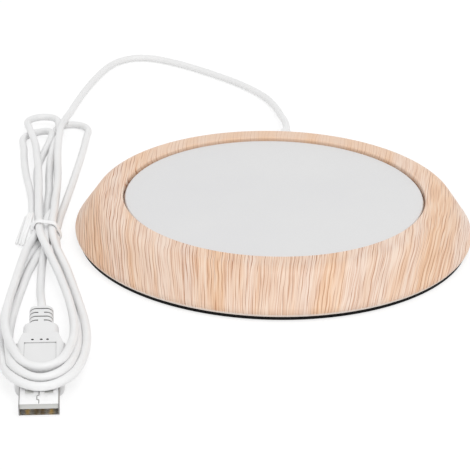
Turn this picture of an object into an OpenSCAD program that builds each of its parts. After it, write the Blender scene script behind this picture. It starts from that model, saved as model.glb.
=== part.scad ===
// Electric mug warmer: a low round heater with a wood-grained rim, a flat metal hot plate and
// a black base, fed by a white low-voltage lead that ends in a USB-A plug.
// Millimetres. Origin on the table under the middle of the disc, +Z up, the lead leaves at +Y.

/* [Rim] */
// Width of the rim at its widest edge
housing_d = 140; // [128:1:152]
// Height of the rim's inner edge above the table
housing_h = 16; // [15:0.5:20]
// Width of the round opening that the hot plate sits in
opening_d = 106.4; // [98:0.2:110]
// Slope of the side, degrees above level
side_angle = 55; // [53:1:64]
// Fall of the crown towards the outside, degrees
crown_angle = 2; // [1:0.5:4]
// Radius where the crown turns down into the side
shoulder_r = 5; // [4:0.5:8]
// Radius of the widest edge
edge_r = 2; // [1:0.25:2.5]
// Height of the widest edge above the table
edge_z = 3.7; // [3.5:0.1:5]
// How far the rim's bottom edge lies inside its widest edge
bottom_inset = 1.2; // [0.6:0.1:2]
// Radius of the rim's inner top edge
lip_r = 0.6; // [0.3:0.1:1]
// Wall of the rim
wall = 2.4; // [1.8:0.1:2.8]
// Wall round the opening
opening_wall = 2.2; // [1.6:0.1:2.8]
// Wall behind the widest edge, at the bottom
skirt_wall = 4; // [3.6:0.1:5]
// Width of the ledge under the hot plate
ledge_w = 3.6; // [3:0.1:5]
// Thickness of the ledge
ledge_t = 1.6; // [1.2:0.1:2.2]
// Thickness of the stiffening ribs
rib_t = 1.2; // [0.8:0.1:1.6]
// Number of stiffening ribs
rib_count = 12; // [6:1:16]

/* [Hot plate and heater] */
// Depth of the hot plate below the rim's inner edge
plate_recess = 1.2; // [0.4:0.1:1.8]
// Thickness of the hot plate
plate_t = 1.6; // [1.2:0.1:2.2]
// Gap round the hot plate
plate_gap = 0.7; // [0.3:0.1:1]
// Bevel on the hot plate's edge
plate_bevel = 0.3; // [0.1:0.1:0.5]
// Thickness of the gasket between hot plate and ledge
gasket_t = 0.8; // [0.6:0.1:1.2]
// Width of the gasket
gasket_w = 2.2; // [1.6:0.1:2.6]
// Width of the heater film
film_d = 96; // [86:1:97]
// Thickness of the heater film
film_t = 0.25; // [0.15:0.05:0.4]
// Thickness of the heating track
track_t = 0.2; // [0.15:0.05:0.3]
// Width of the heating track
track_w = 2.4; // [1.6:0.1:3]
// Spacing of the heating track's rings
track_pitch = 5; // [4.2:0.1:5.2]
// Number of the heating track's rings
track_rings = 6; // [4:2:6]
// Radius of the outermost ring of the heating track
track_r = 42; // [38:0.5:43]
// Width of the terminals on the track's ends
terminal_d = 3.2; // [2:0.1:4]
// Height of the terminals
terminal_h = 0.9; // [0.5:0.1:1.2]
// Thickness of the plate that presses the heater up
press_t = 0.8; // [0.6:0.1:1.2]
// Width of the pressing plate
press_d = 106; // [102:1:108]
// Radius of the circle that the pressing plate's screws stand on
press_screw_r = 58; // [57:0.1:59]
// Width of the pressing plate's ears
ear_d = 7.6; // [6.4:0.1:8.4]
// Length of the thermal cut-out
cutout_l = 12; // [8:0.5:14]
// Width of the thermal cut-out
cutout_w = 8; // [6:0.5:9]
// Height of the thermal cut-out
cutout_h = 3.4; // [3.2:0.1:4]
// Thickness of the spring clip under the thermal cut-out
clip_t = 0.5; // [0.4:0.05:0.7]
// Width of the spring clip
clip_w = 5; // [3:0.5:6]

/* [Base] */
// Height of the black base that shows below the rim
base_show = 1.5; // [1.2:0.1:2]
// How far the base cover's edge lies inside the rim's bottom edge
base_inset = 0.2; // [0.1:0.1:1]
// Thickness of the base cover's floor
floor_t = 1.8; // [1.4:0.1:2]
// Thickness of the non-slip pad
pad_t = 1; // [0.9:0.1:1.3]
// Depth of the recess that the pad is glued in
pad_recess = 0.7; // [0.3:0.1:0.8]
// Width of the non-slip pad
pad_d = 127; // [122:1:130]
// Thickness of the locating ring inside the rim
spigot_t = 2; // [1.4:0.1:2.4]
// Height of the locating ring
spigot_h = 2.4; // [1.6:0.1:3]
// Radius of the circle that the base screws stand on
post_circle_r = 59; // [58.6:0.1:59.4]
// Width of the screw posts
post_d = 6.4; // [5.6:0.1:7]
// Height of the screw seats on the base cover
seat_h = 1.6; // [1.3:0.1:1.9]

/* [Screws] */
// Shank of the screws
screw_d = 2.2; // [1.8:0.1:2.4]
// Head of the screws
screw_head_d = 4.2; // [3.6:0.1:4.6]
// Height of the screw heads
screw_head_h = 1.2; // [1:0.1:1.4]
// Depth that a screw reaches into its post
screw_grip = 5; // [4:0.5:6]

/* [Lead outlet] */
// Thickness of the lead
cord_d = 2.8; // [2.4:0.1:3.2]
// Height of the lead where it leaves
outlet_z = 7.3; // [6.4:0.1:7.6]
// Width of the outlet sleeve's collar
collar_d = 8; // [6.8:0.1:8.4]
// Length of the outlet sleeve's straight collar
collar_l = 7.5; // [3:0.5:9]
// Length of the outlet sleeve's tapered end
taper_l = 8; // [6:0.5:16]
// Width of the outlet sleeve's tip
tip_d = 4.2; // [3.8:0.1:5]
// Width of the outlet sleeve's neck in the wall
neck_d = 5.2; // [4.6:0.1:5.8]
// Width of the outlet sleeve's inner flange
flange_d = 7; // [6.4:0.1:7]
// Thickness of the outlet sleeve's inner flange
flange_t = 1.4; // [1:0.1:1.8]
// Wall that the sleeve's neck sits in
outlet_wall = 1.4; // [1.2:0.1:2.4]
// Length of the lead's clamp, along the lead
clamp_l = 4.4; // [3.6:0.1:5]
// Thickness of the lead's clamp
clamp_t = 2.2; // [1.9:0.1:2.4]
// Distance between the clamp's screws
clamp_pitch = 12; // [11:0.5:15]
// Thickness of the wires inside
wire_d = 1.2; // [0.9:0.1:1.4]

/* [USB plug] */
// Width of the plug's metal shell
shell_w = 12; // [11.8:0.1:12.2]
// Height of the plug's metal shell
shell_h = 4.5; // [4.4:0.1:4.6]
// Length of the metal shell outside the grip
shell_l = 12; // [11:0.5:13]
// Length of the metal shell inside the grip
shell_sunk = 6; // [4:0.5:8]
// Thickness of the shell's sheet
shell_t = 0.3; // [0.25:0.05:0.4]
// Width of the plug's grip
grip_w = 15.2; // [14.6:0.1:17]
// Height of the plug's grip
grip_h = 7.6; // [7.2:0.1:8.6]
// Length of the plug's grip with its shoulders
grip_l = 24; // [22:0.5:28]
// Length of the grip's shoulders
shoulder_l = 3; // [2:0.1:4]
// Radius of the grip's long edges
grip_r = 2.4; // [1.5:0.1:3]
// Radius of the grip's front corners, seen from above
nose_r = 2; // [0.6:0.1:3]
// Width of the plug's neck
plug_neck_w = 11; // [9.6:0.1:12]
// Height of the plug's neck
plug_neck_h = 6.8; // [6.4:0.1:7.2]
// Length of the plug's neck
plug_neck_l = 6.5; // [5:0.5:9]
// Width of the plug's ribbed sleeve
sleeve_w = 7.5; // [6.4:0.1:8.4]
// Height of the plug's ribbed sleeve
sleeve_h = 6; // [5.4:0.1:6.2]
// Length of the plug's ribbed sleeve
sleeve_l = 10.5; // [9.5:0.5:14]
// Number of grooves in the ribbed sleeve
groove_count = 4; // [3:1:4]
// Width of each groove
groove_w = 0.6; // [0.4:0.1:0.9]
// Depth of each groove
groove_deep = 1; // [0.6:0.1:1.2]
// Width of the bridge across every second groove
bridge_w = 1.8; // [1.2:0.1:2.6]
// Width of the shallow panel in the grip
panel_w = 9.8; // [8:0.1:11]
// Depth of the shallow panel
panel_deep = 0.3; // [0.2:0.1:0.5]
// Width of the three small dimples above the panel
dimple_d = 0.9; // [0.6:0.1:1.2]

/* [Hank and tie] */
// Width of the tied bundle
bundle_w = 10.4; // [9:0.1:11]
// Height of the hank, three layers of lead
hank_h = 8.8; // [8.6:0.1:9.4]
// Height of the turns that pass over the plug
hump_h = 12.6; // [12:0.1:13.5]
// Half the width of the hank's front lobe, where it is widest
front_r = 15.2; // [14.6:0.1:16.5]
// Half the width of the hank's back lobe, where it is widest
back_r = 13.8; // [13.2:0.1:15]
// Width of the tie
tie_w = 2.2; // [1.6:0.1:3]
// Thickness of the tie
tie_t = 0.8; // [0.6:0.1:1]

/* [Hidden] */

$fn = 96;
fit = 0.1;          // clearance of a part that drops into another
slip = 0.05;        // clearance of a shank in its hole
overlap = 0.4;      // depth that a feature is sunk into the body it grows from
past = 1;           // how far a cutter runs past a face

housing_r = housing_d / 2;
opening_r = opening_d / 2;
bottom_r = housing_r - bottom_inset;
seat_r = housing_r - skirt_wall;
ledge_r = opening_r - ledge_w;

plate_top = housing_h - plate_recess;
plate_under = plate_top - plate_t;
plate_r = opening_r - plate_gap;
ledge_top = plate_under - gasket_t;
ledge_under = ledge_top - ledge_t;
film_under = plate_under - film_t;
track_under = film_under - track_t;
press_under = ledge_under - press_t;
crown_under = housing_h - wall;

pad_bottom_gap = pad_t - pad_recess;      // height of the cover's edge above the table
floor_under = pad_bottom_gap + pad_recess;
floor_top = floor_under + floor_t;
cover_r = bottom_r - base_inset;
spigot_r = seat_r - fit;
spigot_top = floor_top + spigot_h;
post_foot = floor_top + seat_h;

post_angles = [45, 135, 225, 315];
ear_angles = [30, 150, 270];

// ---- small geometry helpers ----

function unit_at(angle) = [cos(angle), sin(angle)];

// Points of an arc in the plane, from one angle to another
function arc(centre, radius, from, to, steps) =
    [for (i = [0:steps]) centre + radius * unit_at(from + (to - from) * i / steps)];

// Point that lies on two lines, each given by its normal and its distance
function crossing(n1, d1, n2, d2) =
    let (det = n1[0] * n2[1] - n1[1] * n2[0])
    [(d1 * n2[1] - d2 * n1[1]) / det, (n1[0] * d2 - n2[0] * d1) / det];

// Rectangle with round corners, centred on the origin
function round_rect(w, h, r, steps = 6) = concat(
    arc([w / 2 - r, h / 2 - r], r, 0, 90, steps),
    arc([r - w / 2, h / 2 - r], r, 90, 180, steps),
    arc([r - w / 2, r - h / 2], r, 180, 270, steps),
    arc([w / 2 - r, r - h / 2], r, 270, 360, steps));

function normalised(v) = v / norm(v);

// Catmull-Rom curve through a list of points
function curve_point(a, b, c, d, t) =
    0.5 * (2 * b + (c - a) * t + (2 * a - 5 * b + 4 * c - d) * t * t
           + (3 * b - a - 3 * c + d) * t * t * t);

function smooth_route(p, steps) = let (last = len(p) - 1)
    concat([for (i = [0:last - 1]) for (s = [0:steps - 1])
        curve_point(p[max(i - 1, 0)], p[i], p[i + 1], p[min(i + 2, last)], s / steps)], [p[last]]);

// Direction of a curve at each of its points, along the route's own first and last legs at the ends
function headings(route, curve) = let (turn = len(route) - 1, last = len(curve) - 1) concat(
    [normalised(route[1] - route[0])],
    [for (i = [1:last - 1]) normalised(curve[i + 1] - curve[i - 1])],
    [normalised(route[turn] - route[turn - 1])]);

// Ring of points round a middle, square to the direction ahead
function ring_round(middle, ahead, radius, sides, side_hint) =
    let (across = normalised(cross(ahead, side_hint)), upward = cross(across, ahead))
    [for (k = [0:sides - 1]) let (a = 360 * (k + 0.5) / sides)
        middle + radius * (across * cos(a) + upward * sin(a))];

// Round tube along a route, with some rings for each of the route's legs
module tube(route, radius, steps = 3, sides = 8, side_hint = [0, 0, 1]) {
    curve = smooth_route(route, steps);
    ahead = headings(route, curve);
    rings = len(curve);
    corners = [for (i = [0:rings - 1]) each ring_round(curve[i], ahead[i], radius, sides, side_hint)];
    skin = [for (i = [0:rings - 2]) for (k = [0:sides - 1])
        let (a = i * sides + k, b = i * sides + (k + 1) % sides)
        each [[a, b, b + sides], [a, b + sides, a + sides]]];
    start_cap = [[for (k = [0:sides - 1]) sides - 1 - k]];
    end_cap = [[for (k = [0:sides - 1]) (rings - 1) * sides + k]];
    polyhedron(points = corners, faces = concat(start_cap, skin, end_cap));
}

// Round bar along +Y from one end to the other
module bar_y(d, from, to) {
    translate([0, from, 0]) rotate([-90, 0, 0]) cylinder(d = d, h = to - from);
}

// Pan-head screw standing on its head at the origin, shank up
module screw(length) {
    cylinder(d = screw_head_d, h = screw_head_h);
    cylinder(d = screw_d, h = screw_head_h + length);
}

// ---- rim ----

side_normal = unit_at(90 - side_angle);
crown_normal = unit_at(90 - crown_angle);
edge_centre = [housing_r - edge_r, edge_z];
side_line = side_normal * edge_centre + edge_r;
crown_line = crown_normal * [opening_r, housing_h];
shoulder_centre = crossing(side_normal, side_line - shoulder_r,
                           crown_normal, crown_line - shoulder_r);
lip_centre = [opening_r + lip_r,
              (crown_line - lip_r - crown_normal[0] * (opening_r + lip_r)) / crown_normal[1]];

// Radius of the cavity's sloping side at a height
function cavity_r(z) = (side_line - wall - side_normal[1] * z) / side_normal[0];
// Radius of the rim's sloping side at a height, with the clearance that a part outside it keeps
function side_r(z) = (side_line + fit - side_normal[1] * z) / side_normal[0];
// Height at which the cavity's sloping side meets the skirt
cavity_knee = (side_line - wall - side_normal[0] * seat_r) / side_normal[1];

rim_section = concat(
    [[bottom_r, base_show]],
    arc(edge_centre, edge_r, -48, 90 - side_angle, 8),
    arc(shoulder_centre, shoulder_r, 90 - side_angle, 90 - crown_angle, 10),
    arc(lip_centre, lip_r, 90 - crown_angle, 180, 5),
    [[opening_r, ledge_top], [ledge_r, ledge_top], [ledge_r, ledge_under],
     [opening_r + opening_wall, ledge_under], [opening_r + opening_wall, crown_under],
     [cavity_r(crown_under), crown_under], [seat_r, cavity_knee], [seat_r, base_show]]);

outlet_face = seat_r - 1.6;               // flat inside face that the sleeve's flange meets
outlet_seat = outlet_face + outlet_wall;  // flat outside face that its collar meets
outlet_boss_w = flange_d + 4;

// Straight cut from the outlet's axis down through the bottom edge
module outlet_slot(d, from, to) {
    translate([0, 0, outlet_z]) bar_y(d, from, to);
    translate([-d / 2, from, base_show - past]) cube([d, to - from, outlet_z - base_show + past]);
}

module rim_posts() {
    for (a = post_angles) rotate(a) translate([post_circle_r, 0, post_foot])
        cylinder(d = post_d, h = crown_under - post_foot + overlap);
    for (a = ear_angles) rotate(a) translate([press_screw_r, 0, ledge_under])
        cylinder(d = post_d, h = crown_under - ledge_under + overlap);
}

module rim_ribs() {
    rib_from = opening_r + opening_wall - overlap;
    for (i = [0:rib_count - 1]) rotate(360 * (i + 0.5) / rib_count)
        translate([rib_from, -rib_t / 2, ledge_under])
            cube([cavity_r(ledge_under) - rib_from + overlap, rib_t, crown_under - ledge_under + overlap]);
}

module outlet_boss() {
    intersection() {
        translate([-outlet_boss_w / 2, outlet_face, post_foot])
            cube([outlet_boss_w, skirt_wall + overlap, ledge_under - post_foot]);
        translate([0, 0, post_foot]) cylinder(r = seat_r + overlap, h = ledge_under - post_foot);
    }
}

module rim_housing() color([0.93, 0.81, 0.7]) difference() {
    union() {
        rotate_extrude() polygon(rim_section);
        intersection() {
            union() {
                rim_posts();
                rim_ribs();
                outlet_boss();
            }
            // the space that posts, ribs and boss may fill: under the ledge, and outside the opening's wall
            rotate_extrude() polygon(concat(
                [[0, base_show], [bottom_r, base_show]],
                arc(edge_centre, edge_r, -48, 90 - side_angle, 8),
                [[cavity_r(housing_h - lip_r), housing_h - lip_r],
                 [opening_r + opening_wall / 2, housing_h - lip_r],
                 [opening_r + opening_wall / 2, ledge_under + overlap], [0, ledge_under + overlap]]));
        }
    }
    for (a = post_angles) rotate(a) translate([post_circle_r, 0, base_show - past]) {
        cylinder(d = screw_d + 2 * slip, h = post_foot + screw_grip - base_show + past);
        cylinder(d = post_d + 2 * fit, h = post_foot - base_show + past);
    }
    for (a = ear_angles) rotate(a) translate([press_screw_r, 0, base_show - past]) {
        cylinder(d = screw_d + 2 * slip, h = crown_under - base_show + past);
        cylinder(d = screw_head_d + 2 * fit, h = ledge_under - base_show + past);
    }
    translate([0, 0, outlet_z]) bar_y(flange_d + 2 * fit, sleeve_inner - past, outlet_face);
    outlet_slot(neck_d + 2 * slip, outlet_face - past, housing_r + past);
    outlet_slot(collar_d + 2 * fit, outlet_seat, housing_r + past);
}

// ---- hot plate and heater ----

module hot_plate() color([0.88, 0.88, 0.885]) rotate_extrude() polygon([
    [0, plate_under], [plate_r, plate_under], [plate_r, plate_top - plate_bevel],
    [plate_r - plate_bevel, plate_top], [0, plate_top]]);

module flat_ring(outer_r, inner_r, z, t) {
    translate([0, 0, z]) linear_extrude(t) difference() {
        circle(outer_r);
        circle(inner_r);
    }
}

module plate_gasket() color([0.35, 0.34, 0.33])
    flat_ring(ledge_r + 0.6 + gasket_w, ledge_r + 0.6, ledge_top, gasket_t);

module heater_film() color([0.8, 0.5, 0.15])
    translate([0, 0, film_under]) cylinder(d = film_d, h = film_t);

track_gap = 4 + 2 * track_w;              // width of the track's break, towards the outlet
function ring_r(i) = track_r - i * track_pitch;
// Where a ring ends beside the break, side being -1 or 1
function ring_end(i, side) = [side * track_gap / 2, sqrt(pow(ring_r(i), 2) - pow(track_gap / 2, 2))];

module track_ring(i) difference() {
    circle(ring_r(i) + track_w / 2);
    circle(ring_r(i) - track_w / 2);
    translate([-track_gap / 2, 0]) square([track_gap, track_r + track_w]);
}

// Link between two rings beside the break
module track_link(i, side) {
    outer = ring_end(i, side)[1];
    inner = ring_end(i + 1, side)[1];
    translate([side * (track_gap + track_w) / 2 - track_w / 2, inner]) square([track_w, outer - inner]);
}

module heating_track() color([0.72, 0.72, 0.7]) translate([0, 0, track_under]) linear_extrude(track_t)
    union() {
        for (i = [0:track_rings - 1]) track_ring(i);
        for (i = [0:track_rings - 2]) track_link(i, i % 2 == 0 ? 1 : -1);
    }

outer_terminal = [-(track_gap + track_w) / 2, ring_end(0, -1)[1] - track_w / 4];
inner_terminal = [-(track_gap + track_w) / 2, ring_end(track_rings - 1, -1)[1] - track_w / 4];

module track_terminals() color([0.75, 0.75, 0.72])
    for (p = [outer_terminal, inner_terminal])
        translate([p[0], p[1], track_under - terminal_h]) cylinder(d = terminal_d, h = terminal_h, $fn = 32);

window_w = max(cutout_w, track_gap + 2 * track_w + terminal_d) + 1;
window_from = -cutout_l / 2 - 0.5;
window_to = track_r + terminal_d;

// Opening that the cut-out, the terminals and the wires share
module window(z, t) {
    translate([-window_w / 2, window_from, z]) cube([window_w, window_to - window_from, t]);
}

module insulation_felt() color([0.92, 0.9, 0.84]) difference() {
    translate([0, 0, ledge_under]) cylinder(r = ledge_r - 0.3, h = track_under - ledge_under);
    window(ledge_under - past, track_under - ledge_under + 2 * past);
}

module pressing_plate() color([0.7, 0.71, 0.73]) difference() {
    translate([0, 0, press_under]) linear_extrude(press_t) intersection() {
        union() {
            circle(d = press_d);
            for (a = ear_angles) rotate(a) {
                translate([press_d / 2 - ear_d, -ear_d / 2])
                    square([press_screw_r - press_d / 2 + ear_d, ear_d]);
                translate([press_screw_r, 0]) circle(d = ear_d);
            }
        }
        circle(r = cavity_r(ledge_under) - fit);
    }
    for (a = post_angles) rotate(a) translate([post_circle_r, 0, press_under - past])
        cylinder(d = post_d + 2 * fit, h = press_t + 2 * past);
    window(press_under - past, press_t + 2 * past);
    for (a = ear_angles) rotate(a) translate([press_screw_r, 0, press_under - past])
        cylinder(d = screw_d + 2 * fit, h = press_t + 2 * past);
}

module pressing_screws() color([0.6, 0.6, 0.62])
    for (a = ear_angles) rotate(a) translate([press_screw_r, 0, press_under - screw_head_h])
        screw(press_t + crown_under - ledge_under - past);

cutout_top = film_under;
cutout_under = cutout_top - cutout_h;

module thermal_cutout() color([0.2, 0.2, 0.2]) translate([0, 0, cutout_under]) difference() {
    linear_extrude(cutout_h) square([cutout_w, cutout_l], center = true);
    // stepped ends that carry the two leads
    for (s = [-1, 1]) translate([0, s * cutout_l / 2, cutout_h])
        cube([cutout_w + past, 2, cutout_h], center = true);
}

clip_reach = window_w / 2 + 3.5;          // how far the clip's feet reach under the pressing plate

// One half of the clip seen along +Y, its foot on the side given as -1 or 1
function clip_side(side) =
    let (low = window_w / 2 - 2 * clip_t, high = window_w / 2,
         half = [[low + clip_t, cutout_under - clip_t], [high + clip_t, press_under - clip_t],
                 [clip_reach, press_under - clip_t], [clip_reach, press_under],
                 [high, press_under], [low, cutout_under]])
    side > 0 ? half : [for (i = [len(half) - 1:-1:0]) [-half[i][0], half[i][1]]];

module cutout_clip() color([0.78, 0.78, 0.8]) rotate([90, 0, 0])
    linear_extrude(clip_w, center = true) polygon(concat(clip_side(1), clip_side(-1)));

// ---- base ----

module base_cover() color([0.07, 0.07, 0.075]) difference() {
    union() {
        translate([0, 0, pad_bottom_gap]) cylinder(r = cover_r, h = base_show - pad_bottom_gap);
        translate([0, 0, floor_under]) cylinder(r = spigot_r, h = floor_t);
        flat_ring(spigot_r, spigot_r - spigot_t, floor_under, spigot_top - floor_under);
        for (a = post_angles) rotate(a) translate([post_circle_r, 0, floor_under])
            cylinder(d = post_d, h = post_foot - floor_under);
        for (s = [-1, 1]) translate([s * clamp_pitch / 2, clamp_y, floor_under])
            cylinder(d = screw_d + 2.6, h = clamp_under - floor_under);
        translate([-clamp_pitch / 2, clamp_y - clamp_l / 2, floor_under])
            cube([clamp_pitch, clamp_l, outlet_z - floor_under - 0.6]);
    }
    translate([0, 0, pad_bottom_gap - past]) cylinder(d = pad_d + 2 * fit, h = pad_recess + past);
    // gap in the locating ring behind the outlet
    translate([-outlet_boss_w / 2 - 1, outlet_face - flange_t - 1, floor_top])
        cube([outlet_boss_w + 2, housing_r, spigot_h + past]);
    for (a = post_angles) rotate(a) translate([post_circle_r, 0, floor_under - past]) {
        cylinder(d = screw_d + 2 * fit, h = post_foot - floor_under + 2 * past);
        cylinder(d = screw_head_d + 2 * fit, h = screw_head_h + past);
    }
    for (s = [-1, 1]) translate([s * clamp_pitch / 2, clamp_y, floor_top])
        cylinder(d = screw_d + 2 * slip, h = clamp_under);
    translate([0, 0, outlet_z]) bar_y(cord_d + 2 * slip, clamp_y - clamp_l, clamp_y + clamp_l);
}

module base_screws() color([0.6, 0.6, 0.62])
    for (a = post_angles) rotate(a) translate([post_circle_r, 0, floor_under])
        screw(post_foot - floor_under - screw_head_h + screw_grip - past);

module non_slip_pad() color([0.1, 0.1, 0.1]) cylinder(d = pad_d, h = pad_t);

// ---- lead outlet ----

sleeve_inner = outlet_face - flange_t;
sleeve_tip = outlet_seat + collar_l + taper_l;
clamp_y = sleeve_inner - 1.6 - clamp_l / 2;
clamp_under = outlet_z + 0.3;
inlet_end = clamp_y - clamp_l / 2 - 2;

// Turned around the lead: flange, neck, collar, then a taper with a rounded tip
module sleeve_body() translate([0, 0, outlet_z]) rotate([-90, 0, 0])
    rotate_extrude() polygon([
        [cord_d / 2 + slip, sleeve_inner], [flange_d / 2, sleeve_inner], [flange_d / 2, outlet_face],
        [neck_d / 2, outlet_face], [neck_d / 2, outlet_seat], [collar_d / 2 - 0.4, outlet_seat],
        [collar_d / 2, outlet_seat + 0.4], [collar_d / 2, outlet_seat + collar_l - 0.6],
        [collar_d / 2 - 0.3, outlet_seat + collar_l], [tip_d / 2, sleeve_tip - 0.5],
        [tip_d / 2 - 0.4, sleeve_tip], [cord_d / 2 + slip, sleeve_tip]]);

// Upper part of the collar, carried on to the rim's sloping side
module collar_saddle() difference() {
    translate([0, 0, outlet_z]) bar_y(collar_d - 0.8, outlet_face, outlet_seat + overlap);
    cylinder(r = outlet_seat, h = outlet_z);
    rotate_extrude() polygon([[0, 0], [side_r(0), 0], [side_r(housing_h), housing_h], [0, housing_h]]);
}

module cord_sleeve() color([0.93, 0.93, 0.93]) {
    sleeve_body();
    collar_saddle();
}

module cord_inlet() color([0.93, 0.93, 0.93]) translate([0, 0, outlet_z])
    bar_y(cord_d, inlet_end, sleeve_tip);

module cord_clamp() color([0.85, 0.85, 0.85]) difference() {
    translate([0, clamp_y, clamp_under]) linear_extrude(clamp_t)
        polygon(round_rect(clamp_pitch + screw_d + 2.6, clamp_l, 1.6));
    translate([0, 0, outlet_z]) bar_y(cord_d + 2 * slip, clamp_y - clamp_l, clamp_y + clamp_l);
    for (s = [-1, 1]) translate([s * clamp_pitch / 2, clamp_y, clamp_under - past])
        cylinder(d = screw_d + 2 * fit, h = clamp_t + 2 * past);
}

module clamp_screws() color([0.6, 0.6, 0.62])
    for (s = [-1, 1]) translate([s * clamp_pitch / 2, clamp_y, clamp_under + clamp_t + screw_head_h])
        mirror([0, 0, 1]) screw(clamp_t + clamp_under - floor_top - 0.3);

wire_low = press_under - 2.2;             // height at which the wires cross under the plates
terminal_z = track_under - terminal_h;

module wire(route) tube(route, wire_d / 2, side_hint = [1, 0, 0]);

module feed_wire() color([0.75, 0.1, 0.1]) wire([
    [0.7, inlet_end, outlet_z], [0.7, inlet_end - 3, outlet_z], [2, inlet_end - 9, wire_low],
    [2, 36, wire_low], [1.6, 26, wire_low], [1.2, 16, wire_low],
    [1, cutout_l / 2 + 1.5, cutout_under + cutout_h / 4],
    [1, cutout_l / 2, cutout_under + cutout_h / 4]]);

module return_wire() color([0.1, 0.1, 0.1]) wire([
    [-0.7, inlet_end, outlet_z], [-0.7, inlet_end - 2, outlet_z], [-2.2, inlet_end - 5.5, wire_low],
    [outer_terminal[0] + 0.6, outer_terminal[1] + 3, wire_low + 0.6],
    [outer_terminal[0], outer_terminal[1], terminal_z - 1.4],
    [outer_terminal[0], outer_terminal[1], terminal_z]]);

module link_wire() color([0.85, 0.85, 0.8]) wire([
    [-2, cutout_l / 2, cutout_under + cutout_h / 4],
    [-2, cutout_l / 2 + 1.5, cutout_under + cutout_h / 4],
    [-3, cutout_l / 2 + 4, wire_low + 0.4],
    [inner_terminal[0], inner_terminal[1], terminal_z - 1.4],
    [inner_terminal[0], inner_terminal[1], terminal_z]]);

// ---- hank, lead and tie ----

hank_place = [-78, -12, 0];               // on the table under the tie
hank_turn = 8.5;                          // the hank's slant from the Y axis, degrees
front_shift = -0.8;                       // the lobes' middles lie this far to the side of the tie
back_shift = 1;
// Stations along the hank from the tie, each with its share of the lobe's widest half width
front_stations = [[-20, 0.55], [-40, 0.76], [-60, 0.93], [-80, 1], [-96, 0.94], [-108, 0.78],
                  [-117, 0.56], [-122, 0.34], [-124.2, 0.14]];
back_stations = [[33, 0.68], [60, 0.92], [84, 0.96], [98, 1], [104, 0.94], [109, 0.72], [113, 0.45]];
hump_v = -92;                             // the turns over the plug lie in front of this
entry_u = 5;                              // where the lead meets the flat at the back end
entry_z = 4.4;

module hank_frame() {
    translate(hank_place) rotate(hank_turn) children();
}

function hank_to_world(u, v, z) = hank_place + [
    u * cos(hank_turn) - v * sin(hank_turn), u * sin(hank_turn) + v * cos(hank_turn), z];

// One side of a lobe, from the tie outwards
function lobe_side(stations, shift, widest, side) =
    [for (p = stations) [shift + side * widest * p[1], p[0]]];

function reversed(list) = [for (i = [len(list) - 1:-1:0]) list[i]];

hank_outline = concat(
    [[bundle_w / 2, 2]],
    lobe_side(back_stations, back_shift, back_r, 1),
    reversed(lobe_side(back_stations, back_shift, back_r, -1)),
    [[-bundle_w / 2, 2], [-bundle_w / 2, -2]],
    lobe_side(front_stations, front_shift, front_r, -1),
    reversed(lobe_side(front_stations, front_shift, front_r, 1)),
    [[bundle_w / 2, -2]]);

back_end_v = back_stations[len(back_stations) - 1][0];
entry = hank_to_world(entry_u, back_end_v, entry_z);
entry_out = [-sin(hank_turn), cos(hank_turn), 0];

// The lead's way from the outlet round behind the disc to the hank
lead_route = [
    [0, sleeve_tip, outlet_z], [0, sleeve_tip + 6, outlet_z - 0.1], [-1, 100, 5], [-3, 110, 3],
    [-7, 124, 1.7], [-13, 137, 1.5], [-22, 149, 1.5], [-34, 160, 1.5], [-47, 170, 1.5],
    [-58, 176.5, 1.5], [-66, 179, 1.5], [-73, 177.5, 1.5], [-79, 171, 1.5], [-83, 159, 1.5],
    [-86, 143, 1.5], [-88, 124, 1.5], hank_to_world(entry_u + 1.6, back_end_v + 13, 2.6),
    entry + 6 * entry_out, entry];

module cord_lead() color([0.93, 0.93, 0.93]) tube(lead_route, cord_d / 2);

module cord_hank() color([0.93, 0.93, 0.93]) difference() {
    hank_frame() difference() {
        union() {
            linear_extrude(hank_h) polygon(hank_outline);
            intersection() {
                linear_extrude(hump_h) polygon(hank_outline);
                translate([-2 * front_r, 2 * hump_v, 0]) cube([4 * front_r, -hump_v, hump_h]);
            }
        }
        // waist that the tie lies in
        difference() {
            translate([-bundle_w, -tie_w / 2 - fit, -past])
                cube([2 * bundle_w, tie_w + 2 * fit, hank_h + 2 * past]);
            translate([tie_t + fit - bundle_w / 2, -tie_w, tie_t + 2 * fit])
                cube([bundle_w - 2 * (tie_t + fit), 2 * tie_w, hank_h - 2 * tie_t - 3 * fit]);
        }
    }
    plug_frame() plug_pocket();
}

tail_l = 16;                              // length of the tie's free ends
tail_turn = 161;                          // the way they point, turned from the hank's back end, degrees
tail_fall = 12;                           // and how steeply they run down to the table, degrees
tail_off = 3.2;                           // how far they stand off the bundle

module tie_end(shift, rise) {
    translate([-bundle_w / 2 - tail_off + shift, 2, hank_h / 2 + rise])
        rotate(tail_turn - 20 * shift) rotate([-tail_fall, 0, 0])
            translate([-tie_w / 4, 0, -tie_t / 2]) cube([tie_w / 2, tail_l, tie_t]);
}

module cord_tie() color([0.95, 0.95, 0.95]) hank_frame() {
    difference() {
        translate([-bundle_w / 2, -tie_w / 2, fit]) cube([bundle_w, tie_w, hank_h - fit]);
        translate([tie_t - bundle_w / 2, -tie_w, tie_t + fit])
            cube([bundle_w - 2 * tie_t, 2 * tie_w, hank_h - 2 * tie_t - fit]);
    }
    // twisted neck of the tie beside the bundle, and its two free ends
    translate([-bundle_w / 2 - tail_off, -tie_w / 2, hank_h / 2 - tie_t])
        cube([tail_off + tie_t / 2, tie_w, 2 * tie_t]);
    tie_end(0.4, tie_t / 4);
    tie_end(-0.4, -tie_t / 4);
}

// ---- USB plug, laid out along +Y from its tail ----

plug_place = hank_to_world(-1.5, -75, 7.7);   // middle of the plug's tail
plug_dip = 5.4;                           // its nose rests lower than its tail, degrees
neck_end = sleeve_l + plug_neck_l;
grip_end = neck_end + grip_l;
plug_end = grip_end + shell_l;

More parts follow.
